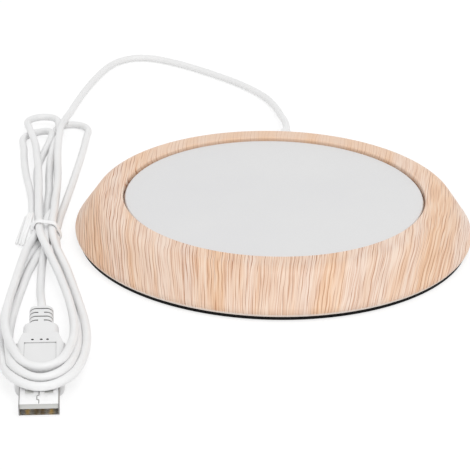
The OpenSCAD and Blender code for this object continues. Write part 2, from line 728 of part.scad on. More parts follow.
module plug_frame() {
    translate(plug_place) rotate(hank_turn + 180) rotate([-plug_dip, 0, 0]) children();
}

// Bar along +Y with a rounded rectangular section
module plug_bar(w, h, r, from, to) {
    translate([0, from, 0]) rotate([-90, 0, 0]) linear_extrude(to - from) polygon(round_rect(w, h, r));
}

module plug_pocket() {
    plug_bar(sleeve_w + 2 * fit, sleeve_h + 2 * fit, 2, 0, neck_end);
    plug_bar(plug_neck_w + 2 * fit, plug_neck_h + 2 * fit, 2, sleeve_l, grip_end);
    plug_bar(grip_w + 2 * fit, grip_h + 2 * fit, grip_r, neck_end - fit, plug_end + past);
}

// Grip seen from above: shoulders rounded into straight sides
grip_plan = let (round_r = 2.2) concat(
    [[-plug_neck_w / 2, neck_end]],
    arc([round_r - grip_w / 2, neck_end + shoulder_l], round_r, 135, 180, 4),
    arc([nose_r - grip_w / 2, grip_end - nose_r], nose_r, 180, 90, 4),
    arc([grip_w / 2 - nose_r, grip_end - nose_r], nose_r, 90, 0, 4),
    arc([grip_w / 2 - round_r, neck_end + shoulder_l], round_r, 0, 45, 4),
    [[plug_neck_w / 2, neck_end]]);

groove_pitch = (sleeve_l - 1.4) / groove_count;

module sleeve_groove(i) {
    y = 1.4 + i * groove_pitch;
    difference() {
        plug_bar(sleeve_w + past, sleeve_h + past, 2, y, y + groove_w);
        plug_bar(sleeve_w - 2 * groove_deep, sleeve_h - 2 * groove_deep, 1.4, y - past, y + groove_w + past);
        if (i % 2 == 1) translate([-bridge_w / 2, y - past, -sleeve_h])
            cube([bridge_w, groove_w + 2 * past, 2 * sleeve_h]);
    }
}

module plug_grip() color([0.91, 0.91, 0.91]) plug_frame() difference() {
    union() {
        plug_bar(sleeve_w, sleeve_h, 2, 0, sleeve_l + overlap);
        plug_bar(plug_neck_w, plug_neck_h, 2.4, sleeve_l, neck_end + shoulder_l);
        intersection() {
            translate([0, 0, -grip_h]) linear_extrude(2 * grip_h) polygon(grip_plan);
            plug_bar(grip_w, grip_h, grip_r, neck_end, grip_end);
        }
    }
    for (i = [0:groove_count - 1]) sleeve_groove(i);
    // shallow panel on both faces, open towards the nose
    for (s = [0, 1]) mirror([0, 0, s])
        translate([-panel_w / 2, neck_end + shoulder_l + 2.4, grip_h / 2 - panel_deep])
            cube([panel_w, grip_l, grip_h]);
    // row of dimples between shoulders and panel
    for (x = [-2.2, -0.3, 2.4]) translate([x, neck_end + shoulder_l + 0.9, grip_h / 2 - 0.5])
        cylinder(d = dimple_d, h = 0.5 + past, $fn = 24);
    // seat of the metal shell
    translate([-shell_w / 2 - slip, grip_end - shell_sunk, -shell_h / 2 - slip])
        cube([shell_w + 2 * slip, shell_sunk + past, shell_h + 2 * slip]);
}

module shell_bar(inset, from, to) {
    plug_bar(shell_w - 2 * inset, shell_h - 2 * inset, 0.6 - inset, from, to);
}

module plug_shell() color([0.8, 0.8, 0.81]) plug_frame() difference() {
    shell_bar(0, grip_end - shell_sunk, plug_end);
    shell_bar(shell_t, grip_end - shell_sunk - past, plug_end + past);
    // latch windows in both faces
    for (x = [-2.9, 2.9])
        translate([x - 1.25, plug_end - 7.2, -shell_h]) cube([2.5, 2, 2 * shell_h]);
}

tongue_t = 1.9;
tongue_w = shell_w - 2 * shell_t - 2 * slip;
tongue_top = shell_h / 2 - shell_t - slip;

module plug_tongue() color([0.95, 0.95, 0.93]) plug_frame() intersection() {
    shell_bar(shell_t + slip, grip_end - shell_sunk, plug_end - 0.4);
    union() {
        translate([-tongue_w / 2, grip_end - shell_sunk, -tongue_top])
            cube([tongue_w, shell_sunk + 2, 2 * tongue_top]);
        translate([-tongue_w / 2, grip_end - shell_sunk, tongue_top - tongue_t])
            cube([tongue_w, shell_sunk + shell_l, tongue_t]);
    }
}

module plug_contacts() color([0.85, 0.68, 0.25]) plug_frame()
    for (x = [-3.5, -1, 1, 3.5]) translate([x - 0.5, grip_end + 2, tongue_top - tongue_t - 0.2])
        cube([1, shell_l - 3.6, 0.2]);

rim_housing();
hot_plate();
plate_gasket();
heater_film();
heating_track();
track_terminals();
insulation_felt();
pressing_plate();
pressing_screws();
thermal_cutout();
cutout_clip();
feed_wire();
return_wire();
link_wire();
base_cover();
base_screws();
non_slip_pad();
cord_sleeve();
cord_inlet();
cord_clamp();
clamp_screws();
cord_lead();
cord_hank();
cord_tie();
plug_grip();
plug_shell();
plug_tongue();
plug_contacts();
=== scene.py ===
"""Dresses the electric mug warmer's solids: lead, tie, materials, light and camera.

The lead, the tie and the plug are given in millimetres, and the camera, the materials, the floor
and the lamps in metres. All of it is built in metres in the frame's own axes: +Z is up, and the
lead leaves the rim at +Y.
"""
import math

import bmesh
import bpy
from mathutils import Matrix, Vector


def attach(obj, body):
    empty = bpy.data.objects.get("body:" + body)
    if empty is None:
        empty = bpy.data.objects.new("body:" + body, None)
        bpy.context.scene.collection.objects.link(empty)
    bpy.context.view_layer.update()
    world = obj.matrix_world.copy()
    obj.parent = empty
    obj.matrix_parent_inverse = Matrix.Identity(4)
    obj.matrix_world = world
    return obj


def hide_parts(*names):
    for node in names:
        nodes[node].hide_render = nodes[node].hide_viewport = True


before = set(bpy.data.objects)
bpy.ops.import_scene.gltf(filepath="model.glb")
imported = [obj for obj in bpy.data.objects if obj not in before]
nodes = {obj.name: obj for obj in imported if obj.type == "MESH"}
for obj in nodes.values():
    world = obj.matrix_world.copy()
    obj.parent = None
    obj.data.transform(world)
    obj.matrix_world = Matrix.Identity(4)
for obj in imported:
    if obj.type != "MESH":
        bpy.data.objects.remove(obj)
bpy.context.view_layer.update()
scene = bpy.context.scene
scene.view_settings.view_transform = "Standard"
MM = 0.001


def new_object(name, data):
    obj = bpy.data.objects.new(name, data)
    scene.collection.objects.link(obj)
    return obj


# ---------------------------------------------------------------- camera

DISTANCE = 0.700            # from the middle of the disc's foot
HEIGHT_ANGLE = math.radians(24.21)
TURN = math.radians(2.802)  # about Z, away from straight in front
ROLL = math.radians(-1.36)
FOCAL = 1968.9              # in pixels of the square frame
FRAME_SIDE = 470
AIM = (273.05, 232.9)       # where the frame shows the middle of the disc's foot
SENSOR = 36                 # in millimetres, as a lens is
CLIP = (0.01, 20)


def place_camera():
    place = Vector((0, -DISTANCE * math.cos(HEIGHT_ANGLE), DISTANCE * math.sin(HEIGHT_ANGLE)))
    ahead = -place.normalized()
    right = Vector((1, 0, 0))
    up = right.cross(ahead)
    sideways = math.atan2(AIM[0] - FRAME_SIDE / 2, FOCAL)
    downward = math.atan2(AIM[1] - FRAME_SIDE / 2, FOCAL)
    turn = Matrix.Rotation(sideways, 3, up)
    ahead, right = turn @ ahead, turn @ right
    nod = Matrix.Rotation(downward, 3, right)
    ahead, up = nod @ ahead, nod @ up
    right, up = (math.cos(ROLL) * right - math.sin(ROLL) * up,
                 math.sin(ROLL) * right + math.cos(ROLL) * up)
    basis = Matrix((right, up, -ahead)).transposed().to_4x4()
    basis.translation = place
    data = bpy.data.cameras.new("camera")
    data.sensor_fit = "HORIZONTAL"
    data.sensor_width = SENSOR
    data.lens = SENSOR * FOCAL / FRAME_SIDE
    data.clip_start, data.clip_end = CLIP
    camera = new_object("camera", data)
    camera.matrix_world = Matrix.Rotation(TURN, 4, "Z") @ basis
    scene.camera = camera


place_camera()

# ---------------------------------------------------------------- lead

CORD_D = 2.8
EXIT = (0, 81.3, 7.3)       # where the lead leaves its sleeve

# From the sleeve round the back to the hank, which takes over at the last point but one.
LEAD = [
    EXIT, (0, 87.3, 7.2), (-1.5, 100, 5), (-3.4, 111, 2.9), (-6.7, 124.5, 1.7), (-12.4, 137, 1.5),
    (-22, 149, 1.5), (-34, 160, 1.5), (-47, 170, 1.5), (-58, 176.5, 1.5), (-66, 179, 1.5),
    (-73, 177.5, 1.5), (-79, 171, 1.5), (-83, 159, 1.5), (-86, 143, 1.5)]

# The hank has its own axes: across, along (towards the back) and up, from under its tie.
HANK_PLACE = (-78, -12, 0)
HANK_TURN = math.radians(8.5)
HANK = [
    (20.3, 169.9, 1.5), (18.3, 164.2, 1.5), (16.3, 158.6, 1.4), (14.5, 152.9, 1.4),
    (12.9, 147.1, 1.4), (11.4, 141.3, 1.4), (10, 135.5, 1.4), (8.5, 129.6, 1.4), (7.2, 123.8, 1.4),
    (6.3, 117.9, 1.9), (5.4, 112.1, 3.1), (5, 106.2, 4.4), (4.4, 100.3, 5.5), (3.3, 94.5, 6.5),
    (2.8, 88.5, 6.6), (2.6, 82.6, 6.7), (2.3, 76.6, 5.9), (2.1, 70.6, 5.4), (2.1, 64.6, 5.2),
    (2.2, 58.7, 4.9), (2.3, 52.7, 4.6), (2.4, 46.7, 4.3), (2.3, 40.7, 4.2), (2.1, 34.7, 4.2),
    (1.8, 28.7, 4.2), (1.4, 22.7, 4.3), (1.5, 16.9, 5.8), (1.7, 10.9, 6.2), (0.9, 4.9, 5),
    (0.9, -1, 6.2), (0.8, -7, 6.2), (1.7, -12.8, 4.5), (2.7, -18.7, 4.2), (4, -24.6, 4.3),
    (5.4, -30.4, 4.1), (6.6, -36.3, 3.8), (7.6, -42.2, 3.6), (8.6, -48.1, 3.3), (9.6, -54, 3.1),
    (10.5, -59.9, 3), (11.4, -65.8, 3), (12.1, -71.8, 3.1), (12.5, -77.8, 3.3), (12.7, -83.7, 3.7),
    (12.6, -89.7, 4.3), (12.2, -95.6, 4.9), (11.6, -101.6, 5.7), (10.6, -107.4, 6.6),
    (9.4, -113.3, 7.2), (6.4, -118.5, 7.3), (1.4, -122.4, 6.9), (-4.9, -121.7, 6.9),
    (-9.4, -117.3, 7.9), (-11.5, -111.8, 6.6), (-12.2, -105.9, 5.5), (-12.9, -100, 4.6),
    (-13.6, -94.2, 3.3), (-14.2, -88.3, 2.2), (-14.5, -82.4, 1.4), (-14.5, -76.4, 1.4),
    (-14.3, -70.4, 1.4), (-14, -64.4, 1.4), (-13.4, -58.4, 1.4), (-12.7, -52.5, 1.4),
    (-12, -46.5, 1.4), (-11.2, -40.6, 1.4), (-10.3, -34.7, 1.4), (-9.4, -28.7, 1.4),
    (-8.3, -22.9, 1.4), (-7, -17, 1.5), (-5, -11.4, 1.2), (-2.6, -5.8, 2), (-2.8, 0.3, 1.6),
    (-2.9, 6.2, 1.3), (-3.5, 12.2, 1.5), (-4, 18.2, 1.4), (-3.9, 24.2, 1.4), (-4.2, 30.2, 1.4),
    (-4.7, 36.1, 1.4), (-5.1, 42.1, 1.4), (-5.4, 48.1, 1.4), (-5.7, 54.1, 1.4), (-5.7, 60.1, 1.4),
    (-5.1, 66.1, 1.4), (-4.4, 72, 1.4), (-3, 77.9, 1.5), (-1.7, 83.7, 2.4), (0, 89.2, 4),
    (-0.2, 95.6, 3.6), (-5.8, 99.3, 1.7), (-11.8, 95.6, 1.4), (-12.3, 89.4, 1.4),
    (-11.1, 83.5, 1.4), (-11.1, 77.5, 1.4), (-10.9, 71.5, 1.4), (-10.6, 65.5, 1.4),
    (-10.1, 59.5, 1.4), (-9.6, 53.6, 1.4), (-8.9, 47.6, 1.4), (-8.1, 41.7, 1.4), (-7.5, 35.7, 1.4),
    (-7, 29.7, 1.4), (-6.7, 23.7, 1.4), (-6.9, 17.7, 1.4), (-6.2, 11.8, 2), (-5.6, 5.8, 2.3),
    (-4.9, 0, 3.3), (-4.6, -6.1, 3.8), (-6.8, -11.8, 3.6), (-7.8, -17.6, 4.2), (-8.6, -23.6, 4.1),
    (-9.3, -29.5, 4.2), (-10, -35.5, 4.1), (-10.6, -41.5, 4.3), (-11.2, -47.4, 4.6),
    (-11.8, -53.4, 4.9), (-12.3, -59.3, 5.3), (-12.7, -65.3, 5.7), (-12.9, -71.3, 6.1),
    (-12.9, -77.2, 6.6), (-12.6, -83.2, 7.2), (-12.1, -89.1, 7.9), (-11.1, -95, 8.5),
    (-10, -100.9, 9.5), (-8.5, -106.5, 10.1), (-6.7, -112.5, 9.6), (-0.5, -115.3, 9),
    (5.2, -111.9, 9.9), (6.6, -105.9, 9.8), (7.7, -100.1, 8.9), (8.5, -94.2, 8.2),
    (8.8, -88.3, 7.4), (8.8, -82.3, 6.8), (8.5, -76.3, 6.3), (8.1, -70.4, 5.8), (7.5, -64.4, 5.4),
    (6.8, -58.5, 5.1), (5.9, -52.5, 4.9), (4.9, -46.6, 4.8), (3.8, -40.7, 4.8), (2.6, -34.9, 4.9),
    (1.2, -29.1, 5.4), (0, -23.2, 5.3), (-1.4, -17.4, 5.9), (-3, -11.6, 6.3), (-3.5, -5.6, 6.3),
    (-3.7, 0.3, 5.7), (-4, 6.2, 4.5), (-4.2, 12.2, 4.3), (-4.3, 18.2, 4.2), (-4.4, 24.2, 4.2),
    (-4.5, 30.2, 4.2), (-4.5, 36.2, 4.2), (-4.6, 42.2, 4.2), (-4.8, 48.2, 4.1), (-5, 54.2, 4.1),
    (-5.3, 60.2, 4.2), (-5.8, 66.1, 4.2), (-6.1, 72.1, 3.6), (-6.3, 78.1, 3.3), (-6.9, 84.1, 3.5),
    (-8.1, 89.9, 3.6), (-9, 95.9, 4.2), (-10.5, 101.6, 3.9), (-10.6, 107.9, 3.5),
    (-5.1, 112.1, 3.3), (1.3, 109.2, 3.9), (2.3, 103, 4), (2.2, 97.1, 3.6), (3.1, 91.1, 3.7),
    (1.7, 85.2, 4.1), (0.7, 79.3, 4.1), (-0.2, 73.4, 3.4), (-0.8, 67.6, 2.3), (-1, 61.6, 1.4),
    (-1.1, 55.6, 1.4), (-1.1, 49.6, 1.4), (-0.9, 43.6, 1.4), (-0.8, 37.6, 1.4), (-1.1, 31.6, 1.4),
    (-1.2, 25.6, 1.4), (-1.3, 19.6, 1.4), (-1.1, 13.7, 1.4), (0, 7.7, 1.5), (-0.2, 1.7, 1.3),
    (0.4, -4.3, 2.2), (-1.2, -10.1, 1.4), (-3.8, -15.5, 1.4), (-4.8, -21.5, 1.4),
    (-6.2, -27.3, 1.4), (-7.3, -33.2, 1.4), (-8.1, -39.1, 1.4), (-8.9, -45.1, 1.4),
    (-9.7, -51, 1.4), (-10.3, -57, 1.8), (-10.8, -62.9, 2.3), (-11.2, -68.9, 2.8),
    (-11.5, -74.8, 3.3), (-11.7, -80.8, 3.9), (-11.6, -86.8, 4.7), (-11.4, -92.7, 5.4),
    (-10.9, -98.6, 6.3), (-10.5, -104.5, 7.4), (-10.2, -110.4, 8.7), (-7.4, -115.8, 9.3),
    (-2.3, -119.6, 7.5), (4.1, -117.9, 8.9), (7.2, -112.4, 8.5), (8.1, -106.6, 7.4),
    (9.1, -100.8, 6.7), (9.6, -94.9, 5.7), (9.9, -88.9, 4.8), (9.9, -83, 4), (9.7, -77.1, 3.3),
    (9.2, -71.1, 2.5), (8.7, -65.2, 1.9), (8, -59.2, 1.4), (7.2, -53.3, 1.4), (6.4, -47.4, 1.4),
    (5.7, -41.4, 1.4), (5, -35.5, 1.4), (4.3, -29.5, 1.4), (3.7, -23.6, 1.4), (3, -17.6, 1.4),
    (2.5, -11.6, 1.7), (2, -5.9, 4), (2.4, 0.1, 3.1), (2.7, 5.9, 1.8), (3, 11.9, 1.4),
    (3.8, 17.9, 1.4), (4.7, 23.8, 1.4), (5.5, 29.7, 1.4), (6.3, 35.7, 1.4), (7.1, 41.6, 1.4),
    (7.9, 47.6, 1.4), (8.7, 53.5, 1.4), (9.4, 59.5, 1.4), (10.2, 65.4, 1.4), (10.9, 71.4, 1.4),
    (11.6, 77.3, 1.4), (12.2, 83.3, 1.4), (12.8, 89.3, 1.4), (13.2, 95.2, 1.4), (14.7, 101.2, 1.4),
    (11.8, 107, 1.4), (5.1, 108.2, 1.4), (0.4, 103.3, 1.4), (0.8, 97.1, 1.4), (1.4, 91.3, 1.4),
    (1.1, 85.2, 1.4), (1.4, 79.2, 1.4), (1.7, 73.2, 1.4), (1.8, 67.3, 1.4), (1.7, 61.3, 1.4),
    (2, 55.3, 1.4), (2.2, 49.3, 1.4), (2.1, 43.3, 1.4), (1.9, 37.3, 1.4), (1.7, 31.3, 1.4),
    (1.4, 25.3, 1.4), (1.5, 19.3, 2), (0.3, 13.7, 4), (-1.4, 7.9, 4.1), (-1.3, 1.9, 3.8),
    (-1.3, -4.1, 4.7), (-1.3, -10.1, 4.2), (-1.4, -16, 3.4), (-2.2, -21.8, 1.8), (-2.5, -27.8, 1.4),
    (-2.5, -33.8, 1.4), (-2.6, -39.8, 1.4), (-2.6, -45.8, 1.7), (-2.4, -51.6, 3),
    (-2.1, -57.4, 4.7), (-1.8, -63.2, 6), (-1.5, -69, 7.8), (-1.5, -75, 7.7)]

LEAD_POINTS = 6             # to each span of the curve through LEAD
HANK_POINTS = 4             # to each control of the hank
CORD_STEP = 2.0             # between the finished line's points
CORD_SOFTENED = 2           # times
CORD_BEVEL = 5
TINY = 1e-9                 # no step is divided by less


def through(points, steps):
    """Points of a smooth curve through all but the last of the points given."""
    points = [Vector(p) for p in points]
    line = []
    for i in range(len(points) - 2):
        a, b, c, d = points[max(i - 1, 0)], points[i], points[i + 1], points[i + 2]
        for k in range(steps):
            t = k / steps
            line.append((2 * b + (c - a) * t + (2 * a - 5 * b + 4 * c - d) * t ** 2
                         + (3 * b - a - 3 * c + d) * t ** 3) / 2)
    return line


def along(controls, steps):
    """Points of the cubic B-spline of these controls, from the first to the last."""
    controls = [Vector(p) for p in controls]
    controls = [2 * controls[0] - controls[1], *controls, 2 * controls[-1] - controls[-2]]
    line = []
    for i in range(1, len(controls) - 2):
        a, b, c, d = controls[i - 1:i + 3]
        for k in range(steps):
            t = k / steps
            line.append(((1 - t) ** 3 * a + (3 * t ** 3 - 6 * t ** 2 + 4) * b
                         + (-3 * t ** 3 + 3 * t ** 2 + 3 * t + 1) * c + t ** 3 * d) / 6)
    return line + [controls[-2]]


def even(line, step):
    """The same line in equal steps."""
    at = [0.0]
    for a, b in zip(line, line[1:]):
        at.append(at[-1] + (b - a).length)
    count = max(2, round(at[-1] / step))
    out, i = [], 0
    for k in range(count + 1):
        s = at[-1] * k / count
        while i < len(line) - 2 and at[i + 1] < s:
            i += 1
        t = (s - at[i]) / max(at[i + 1] - at[i], TINY)
        out.append(line[i].lerp(line[i + 1], min(t, 1)))
    return out


def softened(line, times):
    """The line with each inner point drawn towards its neighbours, this many times."""
    for _ in range(times):
        inner = [(a + 2 * b + c) / 4 for a, b, c in zip(line, line[1:], line[2:])]
        line = [line[0], *inner, line[-1]]
    return line


hank_to_world = Matrix.Translation(HANK_PLACE) @ Matrix.Rotation(HANK_TURN, 4, "Z")
cord_line = through(LEAD, LEAD_POINTS) + [hank_to_world @ p for p in along(HANK, HANK_POINTS)]
cord_line = [p * MM for p in softened(even(cord_line, CORD_STEP), CORD_SOFTENED)]


def build_cord():
    data = bpy.data.curves.new("cord", "CURVE")
    data.dimensions = "3D"
    data.bevel_depth = CORD_D * MM / 2
    data.bevel_resolution = CORD_BEVEL
    data.use_fill_caps = True
    spline = data.splines.new("POLY")
    spline.points.add(len(cord_line) - 1)
    for point, at in zip(spline.points, cord_line):
        point.co = (*at, 1)
    spline.use_smooth = True
    return new_object("cord", data)


cord = build_cord()

# ---------------------------------------------------------------- mesh pieces

MERGE = 1e-7                # metres between points that are one


def mesh_piece(name, vertices, faces, smooth=True):
    data = bpy.data.meshes.new(name)
    data.from_pydata([tuple(v) for v in vertices], [], faces)
    mended = bmesh.new()
    mended.from_mesh(data)
    bmesh.ops.remove_doubles(mended, verts=mended.verts, dist=MERGE)
    bmesh.ops.recalc_face_normals(mended, faces=mended.faces)
    mended.to_mesh(data)
    mended.free()
    data.polygons.foreach_set("use_smooth", [smooth] * len(data.polygons))
    return new_object(name, data)


def sweep(line, sides, section, closed):
    """Vertices and faces of a section, as (across, out), that is carried along a line.

    sides holds the direction of out at each of the line's points.
    """
    count, around = len(line), len(section)
    vertices, faces = [], []
    for i, (p, out) in enumerate(zip(line, sides)):
        if closed:
            ahead = line[(i + 1) % count] - line[i - 1]
        else:
            ahead = line[min(i + 1, count - 1)] - line[max(i - 1, 0)]
        ahead.normalize()
        out = (out - ahead * out.dot(ahead)).normalized()
        across = ahead.cross(out)
        vertices += [p + across * a + out * b for a, b in section]
    for i in range(count if closed else count - 1):
        j = (i + 1) % count
        for k in range(around):
            m = (k + 1) % around
            faces.append((i * around + k, i * around + m, j * around + m, j * around + k))
    if not closed:
        faces.append(tuple(range(around)))
        faces.append(tuple((count - 1) * around + k for k in reversed(range(around))))
    return vertices, faces


# ---------------------------------------------------------------- twist tie, in the hank's axes

# A flat strip with two rounded ridges on each face.
TIE_W = 2.3
TIE_WEB = 0.2               # the strip's thickness beside its ridges
RIDGE_AT = 0.62             # a ridge's middle, from the strip's
RIDGE_HALF = 0.425          # half a ridge's width
RIDGE_RISE = 0.272          # how far a ridge stands out of the strip
RIDGE_STEPS = 6


def tie_section():
    """The strip's outline, as (across, out)."""
    upper = [(-TIE_W / 2, 0)]
    for centre in (-RIDGE_AT, RIDGE_AT):
        for k in range(RIDGE_STEPS + 1):
            angle = math.pi - math.pi * k / RIDGE_STEPS
            upper.append((centre + RIDGE_HALF * math.cos(angle),
                          TIE_WEB / 2 + RIDGE_RISE * math.sin(angle)))
    upper.append((TIE_W / 2, 0))
    return upper + [(a, -b) for a, b in reversed(upper[1:-1])]


# The strands beside and on each other under the tie, as (across, up), and a point amid them,
# all from TIE_AT.
STRANDS = [(-3.4, 3.75), (-2.2, 6.25), (-1.45, 2.05), (1.45, 2.05), (2.2, 6.25), (3.4, 3.75)]
AMID = Vector((0, 0, 4))
TIE_AT = Vector((-1.3, -4, 0))
TIE_SLANT = -0.4            # how far along the hank the tie moves for each millimetre across
TIE_REACH = CORD_D / 2 + 0.38   # from a strand's middle to the strip's
TIE_LOWEST = 0.36           # the strip's middle where it passes under the hank
TIE_DIRECTIONS = 144        # in which the outermost strand is looked for
TIE_STEP = 0.5


def tie_loop():
    """The tie's turn round the strands."""
    ring = []
    for k in range(TIE_DIRECTIONS):
        angle = 2 * math.pi * k / TIE_DIRECTIONS
        normal = Vector((math.cos(angle), math.sin(angle)))
        outermost = max((Vector(s) for s in STRANDS), key=normal.dot)
        at = outermost + normal * TIE_REACH
        ring.append(TIE_AT + Vector((at.x, at.x * TIE_SLANT, max(at.y, TIE_LOWEST))))
    ring.append(ring[0].copy())
    ring = even(ring, TIE_STEP)[:-1]
    sides = []
    for i, p in enumerate(ring):
        ahead = (ring[(i + 1) % len(ring)] - ring[i - 1]).normalized()
        outward = ahead.cross(Vector((0, 1, 0)))
        if outward.dot(p - TIE_AT - AMID) < 0:
            outward = -outward
        sides.append(outward)
    return sweep(ring, sides, tie_section(), True)


# The free ends: how far each tilts, in radians, and its middle line. Each leaves the strands'
# left side on edge, turns flat, folds over and runs down to the table.
TIE_ENDS = [
    (0.2, [(-5.6, -3.2, 5.6), (-6.2, -0.8, 4.8), (-6.9, 2.4, 3.9), (-7.5, 6.0, 3.5),
           (-7.8, 8.6, 3.5), (-7.9, 9.8, 4.1), (-7.9, 8.8, 4.7), (-8.3, 6.2, 4.4),
           (-9.0, 2.6, 3.4), (-9.8, -0.6, 2.3), (-10.5, -3.6, 1.3), (-11.1, -6.2, 0.7)]),
    (0.5, [(-5.6, -2.4, 4.2), (-6.0, -0.4, 5.0), (-6.3, 2.2, 5.2), (-6.5, 5.0, 5.3),
           (-6.7, 7.0, 5.4), (-6.7, 8.1, 6.0), (-6.8, 7.2, 6.6), (-7.2, 4.4, 6.2),
           (-7.9, 1.0, 5.0), (-8.7, -2.4, 3.6), (-9.4, -5.6, 2.3), (-9.9, -8.4, 1.4)]),
]
END_TURNS = 0.3             # the share of its length in which an end turns flat
END_POINTS = 8              # to each control
END_STEP = 0.4


def tie_end(tilt, points):
    line = even(along(points, END_POINTS), END_STEP)
    last = len(line) - 1
    sides = []
    for i in range(last + 1):
        ahead = (line[min(i + 1, last)] - line[max(i - 1, 0)]).normalized()
        gone = i / last
        roll = min(gone / END_TURNS, 1) * math.pi / 2 + tilt * max(0, gone - END_TURNS)
        sides.append(Vector((math.sin(roll), 0, math.cos(roll))).cross(ahead))
    return sweep(line, sides, tie_section(), False)


def build_tie():
    vertices, faces = [], []
    for more_vertices, more_faces in (tie_loop(), *(tie_end(*end) for end in TIE_ENDS)):
        faces += [tuple(k + len(vertices) for k in f) for f in more_faces]
        vertices += more_vertices
    return mesh_piece("twist_tie", [hank_to_world @ v * MM for v in vertices], faces)


tie = build_tie()

# ---------------------------------------------------------------- dots in the plug's pits

# The plug has its own axes: across, from its tail to its nose, and up.
PLUG_TAIL = HANK[-1]
PLUG_DIP = math.radians(5.4)
plug_to_world = (Matrix.Translation(hank_to_world @ Vector(PLUG_TAIL))
                 @ Matrix.Rotation(HANK_TURN + math.pi, 4, "Z")
                 @ Matrix.Rotation(-PLUG_DIP, 4, "X"))

MARKS_X = (-2.2, -0.3, 2.4)
MARKS_Y = 20.9
MARK_FOOT = 3.32
MARK_RINGS = ((0.4, 0), (0.4, 0.12), (0.28, 0.2))   # radius, and height above the foot
MARK_TOP = 0.23
MARK_SIDES = 16


def build_marks():
    vertices, faces = [], []
    for x in MARKS_X:
        first = len(vertices)
        for ring, (radius, height) in enumerate(MARK_RINGS):
            for k in range(MARK_SIDES):
                angle = 2 * math.pi * k / MARK_SIDES
                vertices.append(Vector((x + radius * math.cos(angle),
                                        MARKS_Y + radius * math.sin(angle), MARK_FOOT + height)))
                if ring:
                    below = first + (ring - 1) * MARK_SIDES
                    a, b = below + k, below + (k + 1) % MARK_SIDES
                    faces.append((a, b, b + MARK_SIDES, a + MARK_SIDES))
        last = len(vertices) - MARK_SIDES
        top = len(vertices)
        vertices.append(Vector((x, MARKS_Y, MARK_FOOT + MARK_TOP)))
        faces += [(last + k, last + (k + 1) % MARK_SIDES, top) for k in range(MARK_SIDES)]
        faces.append(tuple(first + k for k in range(MARK_SIDES)))
    return mesh_piece("plug_marks", [plug_to_world @ v * MM for v in vertices], faces)


marks = build_marks()

# ---------------------------------------------------------------- materials

MIX_A, MIX_B, MIX_RESULT = 6, 7, 2     # the colours among the Mix node's sockets
materials = {}              # by name


def srgb(r, g, b):
    """The colour that is written with these numbers up to 255, as Blender holds it."""
    return [c / 255 / 12.92 if c <= 10.3 else ((c / 255 + 0.055) / 1.055) ** 2.4
            for c in (r, g, b)] + [1]


class Paint:
    """A material that is built by short calls, in metres of the frame."""

    def __init__(self, name, roughness, **more):
        material = materials[name] = bpy.data.materials.new(name)
        material.use_nodes = True
        self.tree = material.node_tree
        self.tree.nodes.clear()
        self.shader = self.node("ShaderNodeBsdfPrincipled")
        out = self.node("ShaderNodeOutputMaterial")
        self.put(out.inputs["Surface"], self.shader.outputs[0])
        self.put(self.shader.inputs["Roughness"], roughness)
        for key, value in more.items():
            self.put(self.shader.inputs[key.replace("_", " ")], value)
        self.place = self.node("ShaderNodeTexCoord").outputs["Object"]

    def put(self, socket, value):
        if isinstance(value, bpy.types.NodeSocket):
            self.tree.links.new(value, socket)
        else:
            socket.default_value = value

    def node(self, kind, *values, **settings):
        """A node with these settings, whose first inputs have these values."""
        node = self.tree.nodes.new(kind)
        for key, value in settings.items():
            setattr(node, key, value)
        for socket, value in zip(node.inputs, values):
            self.put(socket, value)
        return node

    def math(self, operation, a, b=0.0):
        return self.node("ShaderNodeMath", a, b, operation=operation).outputs[0]

    def apart(self, a, b):
        """How far a is from b, to either side."""
        return self.math("ABSOLUTE", self.math("SUBTRACT", a, b))

    def vector(self, operation, a, b):
        return self.node("ShaderNodeVectorMath", a, b, operation=operation).outputs[0]

    def dot(self, a, b):
        return self.node("ShaderNodeVectorMath", a, b, operation="DOT_PRODUCT").outputs["Value"]

    def combine(self, x, y=0.0, z=0.0):
        return self.node("ShaderNodeCombineXYZ", x, y, z).outputs[0]

    def axis(self, name, place=None):
        return self.node("ShaderNodeSeparateXYZ", place or self.place).outputs[name]

    def noise(self, scale, stretch=(1, 1, 1), detail=2.0, rough=0.5, place=None):
        """Noise of about scale grains to the metre, before it is stretched."""
        stretched = self.vector("MULTIPLY", place or self.place, stretch)
        node = self.node("ShaderNodeTexNoise", stretched)
        node.inputs["Scale"].default_value = scale
        node.inputs["Detail"].default_value = detail
        node.inputs["Roughness"].default_value = rough
        return node.outputs[0]

    def range(self, value, low, high, to_low=0.0, to_high=1.0):
        return self.node("ShaderNodeMapRange", value, low, high, to_low, to_high,
                         clamp=True).outputs[0]

    def mix(self, amount, a, b):
        node = self.node("ShaderNodeMix", amount, data_type="RGBA", blend_type="MIX")
        self.put(node.inputs[MIX_A], a)
        self.put(node.inputs[MIX_B], b)
        return node.outputs[MIX_RESULT]

    def clouds(self, per_metre, dark, light, edge=0.35):
        """Faint clouds of two colours."""
        amount = self.range(self.noise(per_metre), edge, 1 - edge)
        return self.mix(amount, srgb(*dark), srgb(*light))

    def colour(self, value):
        self.put(self.shader.inputs["Base Color"], value)

    def rough(self, value):
        self.put(self.shader.inputs["Roughness"], value)

    def bump(self, height, deep, strength=0.5):
        node = self.node("ShaderNodeBump")
        node.inputs["Strength"].default_value = strength
        node.inputs["Distance"].default_value = deep
        self.put(node.inputs["Height"], height)
        self.put(self.shader.inputs["Normal"], node.outputs[0])


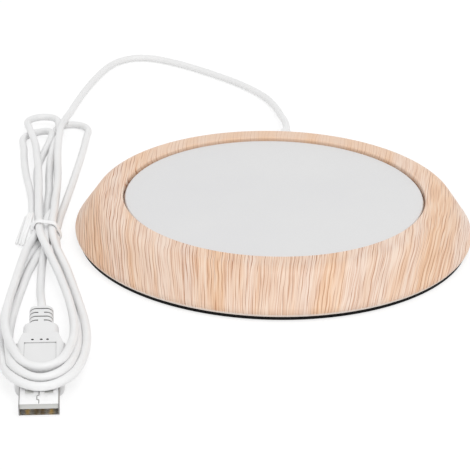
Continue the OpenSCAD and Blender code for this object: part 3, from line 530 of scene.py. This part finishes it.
# The wood print. Its fibres draw together towards the front and the foot.
CLOSENESS = 1.088           # of the fibres, in the middle at table height
LESS_PER_UP = 5.5           # how much it falls for each metre up
LESS_PER_BACK = 1.1         # and for each metre towards the back
ALONG_Y, ALONG_Z = 0.5, 0.8     # the print's scale there
SWAY, JITTER = 0.0013, 0.0007   # how far a fibre wanders, in long and in short waves
LINES, FINER_LINES, SPECKS = 790, 1270, 2500    # to the metre
LINES_FADE = (0.015, 0.055)     # the Y between which the lines grow faint
BACK_TONE = (0.02, 0.055)   # and between which the back's plainer tone comes in
PALE_EDGE = (0.0022, 0.0027)    # the Z between which the pale band along the lowest edge fades out


def wood():
    """Pale oak print on a moulding: fibres run along Y and fall straight down on the sides."""
    p = Paint("wood_grain", roughness=0.5, Sheen_Weight=0.12, Sheen_Roughness=0.4)
    drawn_out = (1, 0.06, 0.06)
    less = p.math("ADD", p.math("MULTIPLY", p.axis("Z"), LESS_PER_UP),
                  p.math("MULTIPLY", p.axis("Y"), LESS_PER_BACK))
    scale = p.combine(p.math("SUBTRACT", CLOSENESS, less), ALONG_Y, ALONG_Z)
    flat = p.vector("MULTIPLY", p.place, scale)

    def wander(per_metre, stretch, detail, reach):
        noise = p.noise(per_metre, stretch, detail, place=flat)
        return p.math("MULTIPLY", p.math("SUBTRACT", noise, 0.5), reach)

    sway = wander(62, (0.7, 1, 1), 1, SWAY)
    jitter = wander(330, (1, 0.8, 0.8), 0, JITTER)
    place = p.vector("ADD", flat, p.combine(p.math("ADD", sway, jitter)))

    def elsewhere(shift):
        return p.vector("ADD", place, shift)

    def pores(per_metre, crowding, shift):
        """Thin lines, crowded here, spread there and broken along their length."""
        moved = elsewhere(shift)
        crowd = p.math("MULTIPLY", p.noise(200, drawn_out, 1, place=moved), crowding)
        turns = p.math("ADD", p.math("MULTIPLY", p.axis("X", moved), per_metre), crowd)
        wave = p.math("COSINE", p.math("MULTIPLY", turns, 2 * math.pi))
        there = p.range(p.noise(620, (1, 0.2, 0.2), 0, place=moved), 0.4, 0.54, 0.1, 1.0)
        return p.math("MULTIPLY", p.range(wave, 0.7, 0.95), there)

    lines = pores(LINES, 1.1, (0, 0, 0))
    finer = pores(FINER_LINES, 1.7, (0.31, 0.17, 0))
    specks = p.noise(SPECKS, drawn_out, 0, place=elsewhere((0.2, 0.1, 0)))
    band = p.noise(120, (1, 0.07, 0.07), 1, place=elsewhere((0.5, 0.3, 0)))
    broad = p.noise(150, (1, 0.05, 0.05), place=place)
    patch = p.noise(80, (1, 0.22, 0.22), place=flat)
    faint = p.range(p.axis("Y"), *LINES_FADE, 1.0, 0.4)
    deep = p.math("MULTIPLY", p.range(band, 0.4, 0.6, 0.65, 1.0), faint)

    tone = p.mix(p.range(broad, 0.42, 0.58), srgb(244, 218, 198), srgb(240, 201, 167))
    for amount, colour in (
            # pale and warm patches
            (p.range(patch, 0.48, 0.6, 0, 0.5), (237, 216, 202)),
            (p.range(patch, 0.46, 0.36, 0, 0.6), (238, 199, 164)),
            # faint lines, dark lines, dark specks and pale specks
            (p.math("MULTIPLY", finer, deep), (208, 148, 108)),
            (p.math("MULTIPLY", lines, deep), (164, 102, 64)),
            (p.math("MULTIPLY", p.range(specks, 0.5, 0.66, 0, 0.3), faint), (206, 158, 124)),
            (p.math("MULTIPLY", p.range(specks, 0.46, 0.34, 0, 0.4), faint), (249, 229, 210)),
            # the back's plainer tone, and a pale band along the lowest edge just above the base
            (p.range(p.axis("Y"), *BACK_TONE, 0, 0.6), (234, 198, 168)),
            (p.range(p.axis("Z"), *PALE_EDGE, 0.8, 0), (246, 236, 228))):
        tone = p.mix(amount, tone, srgb(*colour))
    p.colour(tone)
    p.rough(p.range(lines, 0.0, 1.0, 0.47, 0.55))
    p.bump(lines, 0.00001, 0.4)


def plate():
    p = Paint("plate_coat", roughness=0.42)
    specks = p.noise(2600, detail=3, rough=0.7)
    tone = p.clouds(30, (225, 225, 226), (228, 228, 228), edge=0.3)
    p.colour(p.mix(p.range(specks, 0.35, 0.65, 0, 0.3), tone, srgb(220, 220, 221)))
    p.rough(p.range(specks, 0.3, 0.7, 0.38, 0.5))
    p.bump(specks, 0.00001)


def moulded(name, dark, light, roughness, grain=1800, deep=0.000015, **more):
    """Moulded plastic or rubber: a fine even texture and faint clouds in its colour."""
    p = Paint(name, roughness, **more)
    fine = p.noise(grain, detail=3, rough=0.6)
    p.colour(p.clouds(60, dark, light))
    p.rough(p.range(fine, 0.3, 0.7, roughness - 0.05, roughness + 0.07))
    p.bump(fine, deep)


def metal(name, dark, light, roughness, brushed=(1, 1, 1)):
    p = Paint(name, roughness, Metallic=1.0)
    fine = p.noise(2400, brushed, 3, 0.6)
    p.colour(p.clouds(90, dark, light))
    p.rough(p.range(fine, 0.3, 0.7, roughness - 0.06, roughness + 0.1))
    p.bump(fine, 0.000006)


# The plug's shell, in metres of the plug's axes.
TOOTH_AT = 0.0501           # the middle of the seam's one dovetail, from the plug's tail
TOOTH_HALF = 0.0011         # half its length
TOOTH_OUT = 0.0006          # how far the seam steps aside there
SEAM_FADES = (0.00014, 0.00007)     # from the seam's middle: where it has faded, and is full
ENDS_FADE = (0.00022, 0.00011)      # the same at the dovetail's two ends
SEAM_ABOVE = 0.0021         # the shell's upper face is higher than this
PAINTED_BEND_REFLECTION = (0.0055, 0.0058)    # where the shell turns down at its sides, and a dark reflection is painted


def shell_metal():
    """Bright plating with dark reflections painted on its bends, and the folded sheet's dovetailed
    seam on its upper face.
    """
    p = Paint("plug_metal", roughness=0.3, Metallic=1.0)
    from_tail = p.vector("SUBTRACT", p.place, (plug_to_world.translation * MM)[:])
    turned = plug_to_world.to_3x3()
    x, y, z = (p.dot(from_tail, (turned @ Vector(axis))[:])
               for axis in ((1, 0, 0), (0, 1, 0), (0, 0, 1)))
    from_tooth = p.apart(y, TOOTH_AT)
    stepped = p.math("MULTIPLY", p.math("LESS_THAN", from_tooth, TOOTH_HALF), TOOTH_OUT)
    seam = p.range(p.apart(x, stepped), *SEAM_FADES)
    ends = p.math("MULTIPLY", p.range(p.apart(from_tooth, TOOTH_HALF), *ENDS_FADE),
                  p.math("LESS_THAN", p.apart(x, TOOTH_OUT / 2), TOOTH_OUT / 2))
    seam = p.math("MULTIPLY", p.math("MAXIMUM", seam, ends),
                  p.math("GREATER_THAN", z, SEAM_ABOVE))
    fine = p.noise(2400, detail=3, rough=0.6)
    tone = p.clouds(90, (248, 248, 249), (253, 253, 253))
    # a dark reflection painted on the bends at the shell's sides
    painted_bend_reflection = p.range(p.math("ABSOLUTE", x), *PAINTED_BEND_REFLECTION, 0, 0.9)
    tone = p.mix(painted_bend_reflection, tone, srgb(118, 116, 114))
    p.colour(p.mix(seam, tone, srgb(96, 94, 92)))
    p.rough(p.range(fine, 0.3, 0.7, 0.26, 0.38))
    p.bump(p.math("SUBTRACT", p.math("MULTIPLY", fine, 0.1), seam), 0.00003, 0.6)


PAINTED_GROOVE_SHADE_REACH = 0.0012       # how near a wall the painted shade in the plug's grip grooves reaches


def grip_plastic():
    """The lead's plastic, a little greyer, with painted shade in its grooves."""
    p = Paint("grip_pvc", roughness=0.42)
    fine = p.noise(1500, detail=3, rough=0.6)
    corners = p.node("ShaderNodeAmbientOcclusion", only_local=True, samples=16)
    corners.inputs["Distance"].default_value = PAINTED_GROOVE_SHADE_REACH
    tone = p.clouds(60, (233, 233, 233), (237, 237, 237))
    # painted shade: the grip turns grey where its own walls are near, in the grooves
    p.colour(p.mix(p.range(corners.outputs["AO"], 0.3, 0.75, 1.0, 0), tone, srgb(105, 105, 105)))
    p.rough(p.range(fine, 0.3, 0.7, 0.37, 0.49))
    p.bump(fine, 0.00001)


def felt():
    p = Paint("felt", roughness=0.95, Sheen_Weight=0.3)
    fibres = p.math("MAXIMUM", p.noise(2200, (1, 0.25, 1), 3, 0.7),
                    p.noise(2200, (0.25, 1, 1), 3, 0.7))
    p.colour(p.mix(p.range(fibres, 0.45, 0.7), srgb(214, 208, 194), srgb(238, 234, 224)))
    p.bump(fibres, 0.0001, 0.8)


wood()
plate()
shell_metal()
grip_plastic()
felt()
moulded("black_plastic", (9, 8, 8), (14, 13, 13), 0.6, Specular_IOR_Level=0.12)
moulded("pad_rubber", (24, 24, 24), (32, 32, 32), 0.8, 900, 0.00004)
moulded("gasket_rubber", (70, 68, 66), (82, 80, 76), 0.7)
moulded("heater_film", (176, 104, 28), (192, 118, 38), 0.25, 900, 0.00001)
moulded("cutout_body", (44, 44, 44), (54, 54, 54), 0.5)
moulded("wire_red", (176, 24, 24), (190, 32, 30), 0.4)
moulded("wire_black", (24, 24, 24), (32, 32, 32), 0.4)
moulded("wire_cream", (222, 216, 198), (232, 226, 208), 0.4)
moulded("white_pvc", (240, 240, 240), (244, 244, 244), 0.42, 1500, 0.00001)
moulded("clamp_plastic", (212, 212, 210), (222, 222, 220), 0.5)
moulded("tie_plastic", (246, 246, 246), (250, 250, 250), 0.4, 1500, 0.00001)
moulded("tongue_plastic", (206, 206, 203), (214, 214, 211), 0.5)
# dark grey domes that sit in the plug's three pits
moulded("pit_dots_dark", (58, 58, 58), (70, 70, 70), 0.6)
metal("heater_foil", (176, 176, 172), (190, 190, 186), 0.35)
metal("steel", (160, 160, 164), (178, 178, 181), 0.32, brushed=(1, 0.03, 1))
metal("contact_gold", (222, 176, 84), (236, 192, 100), 0.25)

# The CAD nodes, each with its slot in the record; a node's finish is its slot's unless it has
# one of its own.
SLOTS = {
    "rim_housing": "wood_grain", "hot_plate": "plate_coat", "plate_gasket": "gasket_rubber",
    "heater_film": "heater_film", "heating_track": "heater_foil", "track_terminals": "steel",
    "insulation_felt": "felt", "pressing_plate": "steel", "pressing_screws": "steel",
    "thermal_cutout": "cutout_body", "cutout_clip": "steel", "feed_wire": "wire_red",
    "return_wire": "wire_black", "link_wire": "wire_cream", "base_cover": "black_plastic",
    "base_screws": "steel", "non_slip_pad": "pad_rubber", "cord_sleeve": "white_pvc",
    "cord_inlet": "white_pvc", "cord_clamp": "clamp_plastic", "clamp_screws": "steel",
    "cord_lead": "white_pvc", "cord_hank": "white_pvc", "cord_tie": "tie_plastic",
    "plug_grip": "white_pvc", "plug_shell": "plug_metal", "plug_tongue": "tongue_plastic",
    "plug_contacts": "contact_gold",
}
OWN_FINISH = {"plug_grip": "grip_pvc"}

for name, slot in SLOTS.items():
    for held in nodes[name].material_slots:
        held.material = materials[OWN_FINISH.get(name, slot)]

# ---------------------------------------------------------------- the pieces' finishes and body

for piece, finish, slot in ((cord, "white_pvc", "white_pvc"), (tie, "tie_plastic", "tie_plastic"),
                            (marks, "pit_dots_dark", "cutout_body")):
    piece.data.materials.append(materials[finish])
    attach(piece, "root")
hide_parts("cord_lead", "cord_hank")
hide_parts("cord_tie")

# ---------------------------------------------------------------- light and floor

WORLD_STRENGTH = 0.7        # on the object; the camera sees white
FLOOR_Z = -0.0002           # a hair under what stands on it
FLOOR_HALF = 3              # half its side
FLOOR_GREY = 0.95           # as the object is lit by it
FLOOR_SHADED = 0.3          # as the camera sees it: the part that shadows darken
FLOOR_GLOW = 0.76           # and the part that they don't
LAMPS = {                   # place, size, power
    "key": ((0.35, -0.75, 1.25), 0.9, 6.8),
    "fill": ((-0.9, -0.3, 1.0), 0.9, 0.6),
}


def even_shader(tree, kind, grey, strength=None):
    node = tree.nodes.new(kind)
    node.inputs["Color"].default_value = (grey, grey, grey, 1)
    if strength is not None:
        node.inputs["Strength"].default_value = strength
    return node.outputs[0]


def joined(tree, kind, *sources):
    node = tree.nodes.new(kind)
    for socket, source in zip(node.inputs, sources):
        tree.links.new(source, socket)
    return node.outputs[0]


def surface(tree, kind, shader):
    tree.links.new(shader, tree.nodes.new(kind).inputs["Surface"])


def direct_ray(tree):
    """1 for what the camera sees, also by reflection or through glass, and 0 for what lights."""
    path = tree.nodes.new("ShaderNodeLightPath")
    value = path.outputs["Is Camera Ray"]
    for name in ("Is Glossy Ray", "Is Transmission Ray"):
        both = tree.nodes.new("ShaderNodeMath")
        both.operation = "MAXIMUM"
        tree.links.new(value, both.inputs[0])
        tree.links.new(path.outputs[name], both.inputs[1])
        value = both.outputs[0]
    return value


def world_light():
    world = bpy.data.worlds.new("studio")
    world.use_nodes = True
    tree = world.node_tree
    tree.nodes.clear()
    light = even_shader(tree, "ShaderNodeBackground", 1, WORLD_STRENGTH)
    seen = even_shader(tree, "ShaderNodeBackground", 1, 1)
    surface(tree, "ShaderNodeOutputWorld",
            joined(tree, "ShaderNodeMixShader", direct_ray(tree), light, seen))
    scene.world = world


def floor():
    corners = [Vector((x * FLOOR_HALF, y * FLOOR_HALF, FLOOR_Z))
               for x, y in ((-1, -1), (1, -1), (1, 1), (-1, 1))]
    obj = mesh_piece("floor", corners, [(0, 1, 2, 3)], smooth=False)
    material = bpy.data.materials.new("floor")
    material.use_nodes = True
    tree = material.node_tree
    tree.nodes.clear()
    plain = even_shader(tree, "ShaderNodeBsdfDiffuse", FLOOR_GREY)
    seen = joined(tree, "ShaderNodeAddShader",
                  even_shader(tree, "ShaderNodeBsdfDiffuse", FLOOR_SHADED),
                  even_shader(tree, "ShaderNodeEmission", 1, FLOOR_GLOW))
    upper = joined(tree, "ShaderNodeMixShader", direct_ray(tree), plain, seen)
    # open from below, so that the underside can be seen
    below = tree.nodes.new("ShaderNodeNewGeometry").outputs["Backfacing"]
    clear = tree.nodes.new("ShaderNodeBsdfTransparent").outputs[0]
    surface(tree, "ShaderNodeOutputMaterial",
            joined(tree, "ShaderNodeMixShader", below, upper, clear))
    obj.data.materials.append(material)


def lamp(name, place, size, power):
    data = bpy.data.lights.new(name, "AREA")
    data.shape = "DISK"
    data.size = size
    data.energy = power
    obj = new_object(name, data)
    obj.location = place
    obj.rotation_euler = (-Vector(place)).to_track_quat("-Z", "Y").to_euler()


world_light()
floor()
for name, settings in LAMPS.items():
    lamp(name, *settings)
